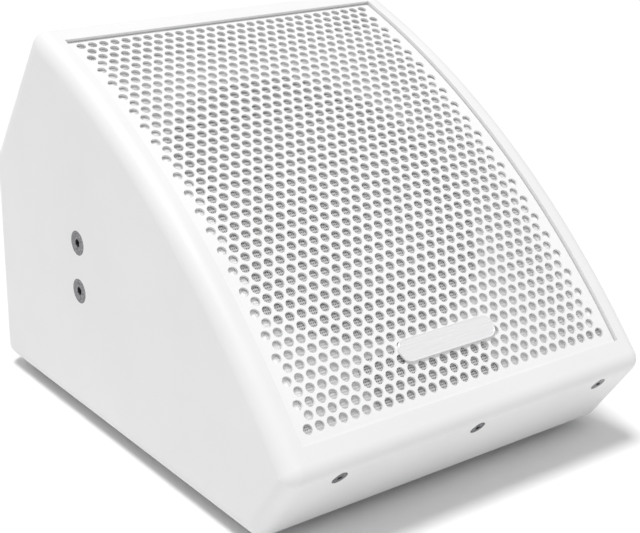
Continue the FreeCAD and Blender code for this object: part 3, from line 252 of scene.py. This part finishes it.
def white_coating():
    """A tough white coating, rolled on, with a fine pebble and slight clouding."""
    finish = Finish("white_coating", (0.80, 0.80, 0.80), 0.5)
    finish.tint(finish.noise(9, 4), (0.785, 0.785, 0.785), (0.815, 0.815, 0.815))
    finish.vary_roughness(finish.noise(40, 3), 0.42, 0.58)
    finish.bump(finish.noise(60, 2), 0.12, 0.6 * MILLIMETRE)
    return finish.bump(finish.noise(1100, 3), 0.22, 0.12 * MILLIMETRE)


def white_primer():
    """Bright primer on the baffle and the cleats behind the sheet."""
    finish = Finish("white_primer", (0.93, 0.93, 0.93), 0.6)
    finish.tint(finish.noise(30, 3), (0.92, 0.92, 0.92), (0.95, 0.95, 0.95))
    finish.vary_roughness(finish.noise(90, 3), 0.55, 0.7)
    return finish.bump(finish.noise(600, 3), 0.15, 0.1 * MILLIMETRE)


def white_powder_coat():
    """Satin powder coat on steel: finer than the cabinet's coating."""
    finish = Finish("white_powder_coat", (0.84, 0.84, 0.84), 0.38)
    finish.tint(finish.noise(14, 3), (0.83, 0.83, 0.83), (0.86, 0.86, 0.86))
    finish.vary_roughness(finish.noise(70, 3), 0.32, 0.44)
    return finish.bump(finish.noise(1500, 2), 0.12, 0.06 * MILLIMETRE)


def plywood():
    """Sanded birch plywood: thin veneers through the thickness and a fine grain."""
    finish = Finish("plywood", (0.72, 0.58, 0.40), 0.6)
    grain = finish.noise(60, 6, finish.stretched((0.3, 6, 6)))
    finish.tint(grain, (0.58, 0.42, 0.25), (0.80, 0.66, 0.46))
    finish.vary_roughness(grain, 0.5, 0.7)
    return finish.bump(grain, 0.3, 0.2 * MILLIMETRE)


def polished_plate():
    """A pale, lightly brushed badge."""
    finish = Finish("badge_finish", (0.90, 0.90, 0.91), 0.22, 0.35)
    streaks = finish.noise(900, 2, finish.stretched((0.05, 1, 1)))
    finish.tint(streaks, (0.88, 0.88, 0.89), (0.93, 0.93, 0.94))
    finish.vary_roughness(streaks, 0.16, 0.30)
    return finish.bump(streaks, 0.05, 0.02 * MILLIMETRE)


def black_zinc():
    """Dark plated screws, lighter where a key has rubbed them."""
    finish = Finish("black_zinc", (0.16, 0.16, 0.17), 0.4, 0.85)
    wear = finish.noise(700, 4)
    finish.tint(wear, (0.11, 0.11, 0.12), (0.30, 0.30, 0.31))
    finish.vary_roughness(wear, 0.48, 0.30)
    return finish.bump(finish.noise(2500, 2), 0.1, 0.03 * MILLIMETRE)


def bright_zinc(name):
    """Zinc plating, mottled where the passivation is uneven."""
    finish = Finish(name, (0.60, 0.60, 0.58), 0.35, 1.0)
    mottle = finish.noise(90, 4)
    finish.tint(mottle, (0.50, 0.50, 0.47), (0.66, 0.66, 0.65))
    finish.vary_roughness(mottle, 0.45, 0.28)
    return finish.bump(finish.noise(1800, 2), 0.08, 0.03 * MILLIMETRE)


def cast_frame():
    """Black textured paint on a die casting."""
    finish = Finish("cast_frame", (0.07, 0.07, 0.075), 0.55)
    finish.tint(finish.noise(45, 3), (0.055, 0.055, 0.06), (0.09, 0.09, 0.095))
    finish.vary_roughness(finish.noise(120, 3), 0.48, 0.66)
    return finish.bump(finish.noise(1300, 4), 0.4, 0.15 * MILLIMETRE)


def rubber():
    """Matt rubber with a dusty bloom."""
    finish = Finish("rubber", (0.035, 0.035, 0.035), 0.75)
    finish.tint(finish.noise(60, 4), (0.03, 0.03, 0.03), (0.055, 0.055, 0.053))
    finish.vary_roughness(finish.noise(200, 3), 0.66, 0.85)
    return finish.bump(finish.cells(1600), 0.15, 0.08 * MILLIMETRE)


def paper_pulp():
    """A coated paper cone: short felted fibres."""
    finish = Finish("paper_pulp", (0.16, 0.16, 0.165), 0.8)
    fibres = finish.noise(500, 6, finish.stretched((1, 0.3, 1.4)))
    finish.tint(fibres, (0.12, 0.12, 0.12), (0.22, 0.22, 0.225))
    finish.vary_roughness(fibres, 0.72, 0.9)
    return finish.bump(fibres, 0.5, 0.2 * MILLIMETRE)


def spider_cloth():
    """Open cotton cloth stiffened with resin."""
    finish = Finish("spider_cloth", (0.55, 0.42, 0.18), 0.7)
    threads = finish.weave(350)
    finish.tint(threads, (0.34, 0.24, 0.08), (0.62, 0.47, 0.21))
    finish.vary_roughness(threads, 0.78, 0.6)
    return finish.bump(threads, 0.6, 0.25 * MILLIMETRE)


def amber_film():
    """The coil's former: an amber plastic film."""
    finish = Finish("amber_film", (0.60, 0.30, 0.08), 0.25)
    finish.tint(finish.noise(80, 2), (0.52, 0.25, 0.06), (0.66, 0.35, 0.10))
    return finish.bump(finish.noise(400, 2), 0.05, 0.03 * MILLIMETRE)


def copper_winding():
    """Enamelled wire wound in close turns; its colour is painted darker in the grooves between turns
    (painted shade) and lighter on their crowns (painted highlight).
    """
    finish = Finish("copper_winding", (0.72, 0.33, 0.17), 0.3, 0.9)
    turns = finish.waves(450, "Z", finish.stretched((1, 1, 1), (SLOPE, 0, 0)))
    # The tint follows the turns: painted shade between them and painted highlight on their crowns;
    # the bump gives their real relief.
    finish.tint(turns, (0.42, 0.16, 0.07), (0.80, 0.40, 0.22))
    finish.vary_roughness(turns, 0.42, 0.24)
    return finish.bump(turns, 0.7, 0.3 * MILLIMETRE)


def ferrite():
    """Sintered ferrite: dull grey with pits and grinding marks."""
    finish = Finish("ferrite", (0.10, 0.10, 0.105), 0.62)
    finish.tint(finish.noise(300, 5), (0.075, 0.075, 0.08), (0.14, 0.14, 0.145))
    finish.vary_roughness(finish.noise(150, 3), 0.5, 0.72)
    return finish.bump(finish.cells(700), 0.25, 0.12 * MILLIMETRE)


def moulded_plastic(name, dark, light, roughness=0.5):
    """Injection-moulded plastic with a spark-eroded grain."""
    finish = Finish(name, dark, roughness)
    finish.tint(finish.noise(50, 3), dark, light)
    finish.vary_roughness(finish.noise(160, 3), roughness - 0.06, roughness + 0.08)
    return finish.bump(finish.noise(1700, 3), 0.25, 0.08 * MILLIMETRE)


def titanium_film():
    """The tweeter's thin metal dome."""
    finish = Finish("titanium_film", (0.60, 0.62, 0.66), 0.25, 1.0)
    haze = finish.noise(250, 3)
    finish.tint(haze, (0.52, 0.54, 0.60), (0.68, 0.70, 0.73))
    finish.vary_roughness(haze, 0.2, 0.34)
    return finish.bump(haze, 0.05, 0.03 * MILLIMETRE)


def tinned_brass():
    """Tinned brass tabs, with the brass showing through in places."""
    finish = Finish("tinned_brass", (0.78, 0.72, 0.55), 0.28, 1.0)
    finish.tint(finish.noise(260, 3), (0.70, 0.62, 0.42), (0.82, 0.80, 0.72))
    finish.vary_roughness(finish.noise(400, 3), 0.22, 0.4)
    return finish.bump(finish.noise(1500, 2), 0.08, 0.03 * MILLIMETRE)


def black_steel():
    """Black powder coat on the connector plate."""
    finish = Finish("black_steel", (0.035, 0.035, 0.038), 0.45)
    finish.tint(finish.noise(40, 3), (0.03, 0.03, 0.033), (0.05, 0.05, 0.053))
    finish.vary_roughness(finish.noise(90, 3), 0.38, 0.55)
    return finish.bump(finish.noise(1300, 3), 0.35, 0.1 * MILLIMETRE)


def board_laminate():
    """Green glass-epoxy board with its weave showing through."""
    finish = Finish("board_laminate", (0.03, 0.17, 0.07), 0.35)
    cloth = finish.weave(160, finish.stretched((1, 1, 1), (math.pi / 2, 0, 0)))
    finish.tint(cloth, (0.022, 0.13, 0.055), (0.04, 0.20, 0.09))
    finish.vary_roughness(cloth, 0.4, 0.28)
    return finish.bump(cloth, 0.15, 0.05 * MILLIMETRE)


def wrapped_film():
    """Yellow film capacitors, slightly wrinkled at the wrap."""
    finish = Finish("wrapped_film", (0.80, 0.55, 0.08), 0.3)
    creases = finish.noise(120, 4, finish.stretched((0.3, 1, 1)))
    finish.tint(creases, (0.72, 0.47, 0.05), (0.86, 0.62, 0.12))
    finish.vary_roughness(creases, 0.24, 0.4)
    return finish.bump(creases, 0.2, 0.12 * MILLIMETRE)


def cement():
    """White cement-filled resistor bodies."""
    finish = Finish("cement", (0.78, 0.76, 0.70), 0.85)
    grit = finish.noise(900, 5)
    finish.tint(grit, (0.70, 0.68, 0.62), (0.84, 0.82, 0.77))
    finish.vary_roughness(grit, 0.8, 0.95)
    return finish.bump(grit, 0.45, 0.15 * MILLIMETRE)


def scrim_cloth():
    """Open white acoustic cloth, seen only through the holes of the sheet."""
    finish = Finish("scrim_cloth", (0.78, 0.78, 0.78), 0.9)
    threads = finish.weave(260)
    finish.tint(threads, (0.70, 0.70, 0.70), (0.86, 0.86, 0.86))
    finish.vary_roughness(threads, 0.95, 0.8)
    finish.open_weave(threads, 0.1, 0.62)
    return finish.bump(threads, 0.4, 0.15 * MILLIMETRE)


def wadding():
    """Polyester wadding with a loose lofted surface."""
    finish = Finish("wadding", (0.82, 0.82, 0.80), 0.95)
    fluff = finish.noise(350, 8)
    finish.tint(fluff, (0.70, 0.70, 0.68), (0.88, 0.88, 0.86))
    finish.set(sheen_weight=0.4, sheen_roughness=0.6)
    finish.vary_roughness(fluff, 0.9, 1.0)
    return finish.bump(fluff, 0.7, 0.8 * MILLIMETRE)


def dress(finish, *nodes):
    """Gives a finish to CAD nodes."""
    for node in nodes:
        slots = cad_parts[node].data.materials
        slots.clear()
        slots.append(finish.material)


def dress_cabinet():
    dress(white_coating(), "side_panel_left", "side_panel_right", "top_panel", "back_panel",
          "bottom_panel", "front_lip_panel")
    dress(white_primer(), "baffle", "grille_cleat_left", "grille_cleat_right")
    dress(white_powder_coat(), "grille")
    dress(plywood(), "baffle_battens")
    dress(black_zinc(), "fly_point_bolts", "grille_screws", "rear_plate_screws", "socket_screws",
          "driver_screws")
    dress(bright_zinc("zinc_fasteners"), "grille_nuts", "badge_clips", "wood_screws",
          "driver_tee_nuts", "fly_plates")


def dress_driver():
    dress(cast_frame(), "driver_frame")
    dress(rubber(), "rubber_feet", "frame_gasket")
    dress(paper_pulp(), "woofer_cone")
    dress(spider_cloth(), "dome_suspension")
    dress(amber_film(), "coil_former")
    dress(copper_winding(), "coil_winding", "inductor_windings")
    dress(bright_zinc("zinc_plates"), "front_plate", "back_plate", "tweeter_front_plate",
          "tweeter_top_plate")
    dress(ferrite(), "driver_magnet", "tweeter_magnet")
    dress(moulded_plastic("black_plastic", (0.03, 0.03, 0.032), (0.05, 0.05, 0.052)), "tweeter_horn",
          "phase_plug", "tweeter_rear_cap", "driver_terminals", "inductor_bobbins", "port_duct",
          "board_standoffs")
    dress(titanium_film(), "tweeter_dome")


def dress_electrics():
    dress(moulded_plastic("nylon", (0.035, 0.035, 0.04), (0.06, 0.06, 0.065), 0.4), "socket_input",
          "socket_link")
    dress(tinned_brass(), "socket_tabs")
    dress(black_steel(), "rear_plate")
    dress(board_laminate(), "crossover_board")
    dress(wrapped_film(), "film_capacitors")
    dress(cement(), "power_resistors")
    dress(moulded_plastic("connector_plastic", (0.04, 0.20, 0.08), (0.06, 0.26, 0.11)),
          "board_terminals")
    sheaths = {
        "woofer_wires": ((0.45, 0.02, 0.02), (0.55, 0.04, 0.03)),
        "tweeter_wires": ((0.03, 0.10, 0.42), (0.05, 0.14, 0.50)),
        "input_wires": ((0.03, 0.03, 0.03), (0.06, 0.06, 0.06)),
        "link_wires": ((0.35, 0.35, 0.34), (0.45, 0.45, 0.43)),
    }
    for node, (dark, light) in sheaths.items():
        dress(moulded_plastic(node + "_sheath", dark, light, 0.42), node)


# ---------------------------------------------------------------- pieces


def on_front(x, arc, level):
    """A point of the curved front: across, along the curve from its middle, and out of the sheet."""
    angle = arc / GRILLE_RADIUS
    radius = GRILLE_RADIUS + level
    return CURVE_CENTRE + ACROSS * x + (OUT * math.cos(angle) + RISE * math.sin(angle)) * radius


def front_axes(x, arc, level):
    """A placement on the curved front: X across, Y up the curve, Z straight out."""
    angle = arc / GRILLE_RADIUS
    outward = OUT * math.cos(angle) + RISE * math.sin(angle)
    along = RISE * math.cos(angle) - OUT * math.sin(angle)
    turn = Matrix((ACROSS, along, outward)).transposed()
    return Matrix.Translation(on_front(x, arc, level)) @ turn.to_4x4()


def made(name, mesh, finish, slot, *nodes, body="cabinet"):
    """Finishes a piece: its faces, material, body and the nodes it stands for; the record slot is
    not used.
    """
    data = bpy.data.meshes.new(name)
    bmesh.ops.recalc_face_normals(mesh, faces=mesh.faces)
    mesh.to_mesh(data)
    mesh.free()
    data.shade_smooth()
    data.materials.append(finish.material)
    piece = bpy.data.objects.new(name, data)
    bpy.context.scene.collection.objects.link(piece)
    if body:
        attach(piece, body)
    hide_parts(*nodes)
    return piece


def grid(mesh, columns, rows, point):
    """A sheet of quads; point gives the place of a column and row, each from 0 to 1."""
    verts = [
        [mesh.verts.new(point(column / columns, row / rows)) for column in range(columns + 1)]
        for row in range(rows + 1)
    ]
    for lower, upper in zip(verts, verts[1:]):
        for index in range(columns):
            mesh.faces.new((lower[index], lower[index + 1], upper[index + 1], upper[index]))


def add_scrim():
    """The cloth stretched behind the sheet, following its curve."""
    mesh = bmesh.new()

    def point(across, up):
        width = SCRIM_WAIST if CLEAT_START < up < CLEAT_END else SCRIM_WIDTH
        return on_front((across - 0.5) * width, (2 * up - 1) * SCRIM_ARC, SCRIM_LEVEL)

    grid(mesh, *SCRIM_GRID, point)
    cloth = made("scrim_cloth", mesh, scrim_cloth(), "scrim_cloth", "grille_scrim")


def rounded_outline(length, height, corner, inset):
    """Points of a rectangle with rounded corners, moved inwards by inset."""
    radius = corner - inset
    for index, (right, up) in enumerate(((1, 1), (-1, 1), (-1, -1), (1, -1))):
        centre = Vector((right * (length / 2 - corner), up * (height / 2 - corner)))
        for step in range(CORNER_STEPS + 1):
            angle = math.pi / 2 * (index + step / CORNER_STEPS)
            yield centre + Vector((math.cos(angle), math.sin(angle))) * radius


def solid_from(mesh, loops):
    """Joins loops of the same number of vertices one after another, and caps both ends."""
    for inner, outer in zip(loops, loops[1:]):
        for index, vert in enumerate(inner):
            after = (index + 1) % len(inner)
            mesh.faces.new((vert, inner[after], outer[after], outer[index]))
    mesh.faces.new(loops[0])
    mesh.faces.new(loops[-1])


def sharpen(piece, degrees):
    """Keeps edges sharper than an angle crisp."""
    piece.data.set_sharp_from_angle(angle=math.radians(degrees))


def add_name_plate():
    """A plain plate with a fine raised rim round a flat field, and its two studs."""
    mesh = bmesh.new()
    place = front_axes(0, BADGE_ARC, BADGE_LIFT)
    loops = []
    for inset, height in BADGE_EDGE:
        outline = rounded_outline(*BADGE_SIZE, BADGE_CORNER, inset * MILLIMETRE)
        loops.append([
            mesh.verts.new(place @ Vector((spot.x, spot.y, height * MILLIMETRE))) for spot in outline
        ])
    solid_from(mesh, loops)
    for side in (-1, 1):
        bmesh.ops.create_cone(
            mesh,
            cap_ends=True,
            segments=STUD_SIDES,
            radius1=STUD_RADIUS * STUD_TAPER,
            radius2=STUD_RADIUS,
            depth=STUD_LENGTH,
            matrix=front_axes(side * STUD_OFFSET, STUD_ARC, STUD_MIDDLE),
        )
    plate = made("name_plate", mesh, polished_plate(), "badge_finish", "badge_plate")
    sharpen(plate, PLATE_CREASE)


def on_driver(angle, radius, level):
    """A point round the driver's axis, level counted outwards from its mounting plane."""
    across = ACROSS * math.cos(angle) + RISE * math.sin(angle)
    return DRIVER_MIDDLE + across * radius + OUT * level


def add_soft_ring(node, finish, slot, profile):
    """A ring in wedges; each bends across the span, from the moving cone to the fixed frame."""
    wedge = math.tau / RING_WEDGES
    for index in range(RING_WEDGES):
        mesh = bmesh.new()
        angles = [wedge * (index + step / WEDGE_STEPS) for step in range(WEDGE_STEPS + 1)]
        loops = [[mesh.verts.new(on_driver(angle, *spot)) for spot in profile] for angle in angles]
        solid_from(mesh, loops)
        piece = made(f"{node}_{index + 1}", mesh, finish, slot, node, body=None)
        sharpen(piece, RING_CREASE)
        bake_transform(piece)


def add_surround():
    """The rubber half-roll between the cone's edge and the frame."""
    inner, outer = SURROUND_SPAN
    near, far = SURROUND_LANDS
    middle = (inner + outer) / 2

    def roll(half_width, level):
        turns = [math.pi * step / ROLL_STEPS for step in range(ROLL_STEPS + 1)]
        return [
            (middle - math.cos(turn) * half_width, level + math.sin(turn) * ROLL_HEIGHT)
            for turn in turns
        ]

    half = (outer - inner) / 2
    top = SURROUND_LEVEL + SURROUND_SHEET
    under = [(near, SURROUND_LEVEL), *roll(half, SURROUND_LEVEL), (far, SURROUND_LEVEL)]
    over = [(near, top), *roll(half + SURROUND_SHEET, top), (far, top)]
    add_soft_ring("cone_surround", rubber(), "rubber", under + over[::-1])


def add_spider():
    """The corrugated cloth between the coil former and the frame's ledge."""
    inner, outer = SPIDER_SPAN
    near, far = SPIDER_LANDS
    count = SPIDER_WAVES * WAVE_STEPS
    upper = [(near, SPIDER_LEVEL)]
    for step in range(count + 1):
        share = step / count
        lift = SPIDER_WAVE * (1 - math.cos(math.tau * SPIDER_WAVES * share)) / 2
        upper.append((inner + (outer - inner) * share, SPIDER_LEVEL + lift))
    upper.append((far, SPIDER_LEVEL))
    lower = [(radius, level - SPIDER_SHEET) for radius, level in upper]
    add_soft_ring("spider", spider_cloth(), "spider_cloth", lower + upper[::-1])


def add_wadding():
    """The quilted pad under the top: crowned, pinched at its edges and along its stitch lines."""
    mesh = bmesh.new()
    across, deep, thick = PAD_SIZE

    def swell(u, v):
        """How full the pad is at a spot: 1 in a channel's middle, 0 at the hem."""
        crown = ((1 - abs(2 * u - 1) ** 6) * (1 - abs(2 * v - 1) ** 4)) ** 0.5
        channel = abs(math.sin(math.pi * PAD_CHANNELS * u)) ** 0.5
        return crown * (CHANNEL_FLOOR + (1 - CHANNEL_FLOOR) * channel)

    def face(side):
        def point(u, v):
            full = swell(u, v)
            pinch = 1 - HEM_PULL * (1 - full)
            flat = ACROSS * (u - 0.5) * across + OUT * (v - 0.5) * deep
            lift = side * (HEM_THICKNESS + (1 - HEM_THICKNESS) * full) * thick / 2
            return PAD_MIDDLE + flat * pinch + RISE * lift
        return point

    for side in (-1, 1):
        grid(mesh, *PAD_GRID, face(side))
    border = [edge for edge in mesh.edges if edge.is_boundary]
    bmesh.ops.bridge_loops(mesh, edges=border)
    pad = made("wadding_pad", mesh, wadding(), "wadding", "damping_pad")


# ---------------------------------------------------------------- studio


def add_camera():
    """The camera, with a small shift that frames the wedge off centre."""
    view = Vector((
        math.sin(CAMERA_AZIMUTH) * math.cos(CAMERA_ELEVATION),
        -math.cos(CAMERA_AZIMUTH) * math.cos(CAMERA_ELEVATION),
        math.sin(CAMERA_ELEVATION),
    ))
    data = bpy.data.cameras.new("camera")
    data.lens = CAMERA_LENS
    data.shift_x, data.shift_y = CAMERA_SHIFT
    data.clip_start = CAMERA_NEAR
    camera = bpy.data.objects.new("camera", data)
    camera.location = CAMERA_PLACE
    camera.rotation_euler = (-view).to_track_quat("-Z", "Y").to_euler()
    bpy.context.scene.collection.objects.link(camera)
    bpy.context.scene.camera = camera


def add_key_light():
    """The broad light from above."""
    data = bpy.data.lights.new("key", "SUN")
    data.energy = KEY_STRENGTH
    data.angle = KEY_SPREAD
    light = bpy.data.objects.new("key", data)
    light.rotation_euler = (-KEY_FROM).to_track_quat("-Z", "Y").to_euler()
    bpy.context.scene.collection.objects.link(light)


def add_room():
    """Even white light from all round."""
    world = bpy.data.worlds.new("room")
    world.use_nodes = True
    background = world.node_tree.nodes["Background"]
    background.inputs["Color"].default_value = (1, 1, 1, 1)
    background.inputs["Strength"].default_value = ROOM_STRENGTH
    bpy.context.scene.world = world
    bpy.context.scene.view_settings.view_transform = "Standard"


def add_floor():
    """A plain pale floor that fills the view."""
    mesh = bpy.data.meshes.new("floor")
    half = FLOOR_SIZE / 2
    corners = [(-half, -half, 0), (half, -half, 0), (half, half, 0), (-half, half, 0)]
    mesh.from_pydata(corners, [], [(0, 1, 2, 3)])
    floor = bpy.data.objects.new("floor", mesh)
    bpy.context.scene.collection.objects.link(floor)
    finish = Finish("floor_paper", FLOOR_TONE, 0.9)
    finish.bump(finish.noise(300, 3), 0.05, 0.2 * MILLIMETRE)
    mesh.materials.append(finish.material)


def build_studio():
    add_room()
    add_floor()
    add_key_light()
    add_camera()


def main():
    dress_cabinet()
    dress_driver()
    dress_electrics()
    add_scrim()
    add_name_plate()
    add_surround()
    add_spider()
    add_wadding()
    build_studio()


main()
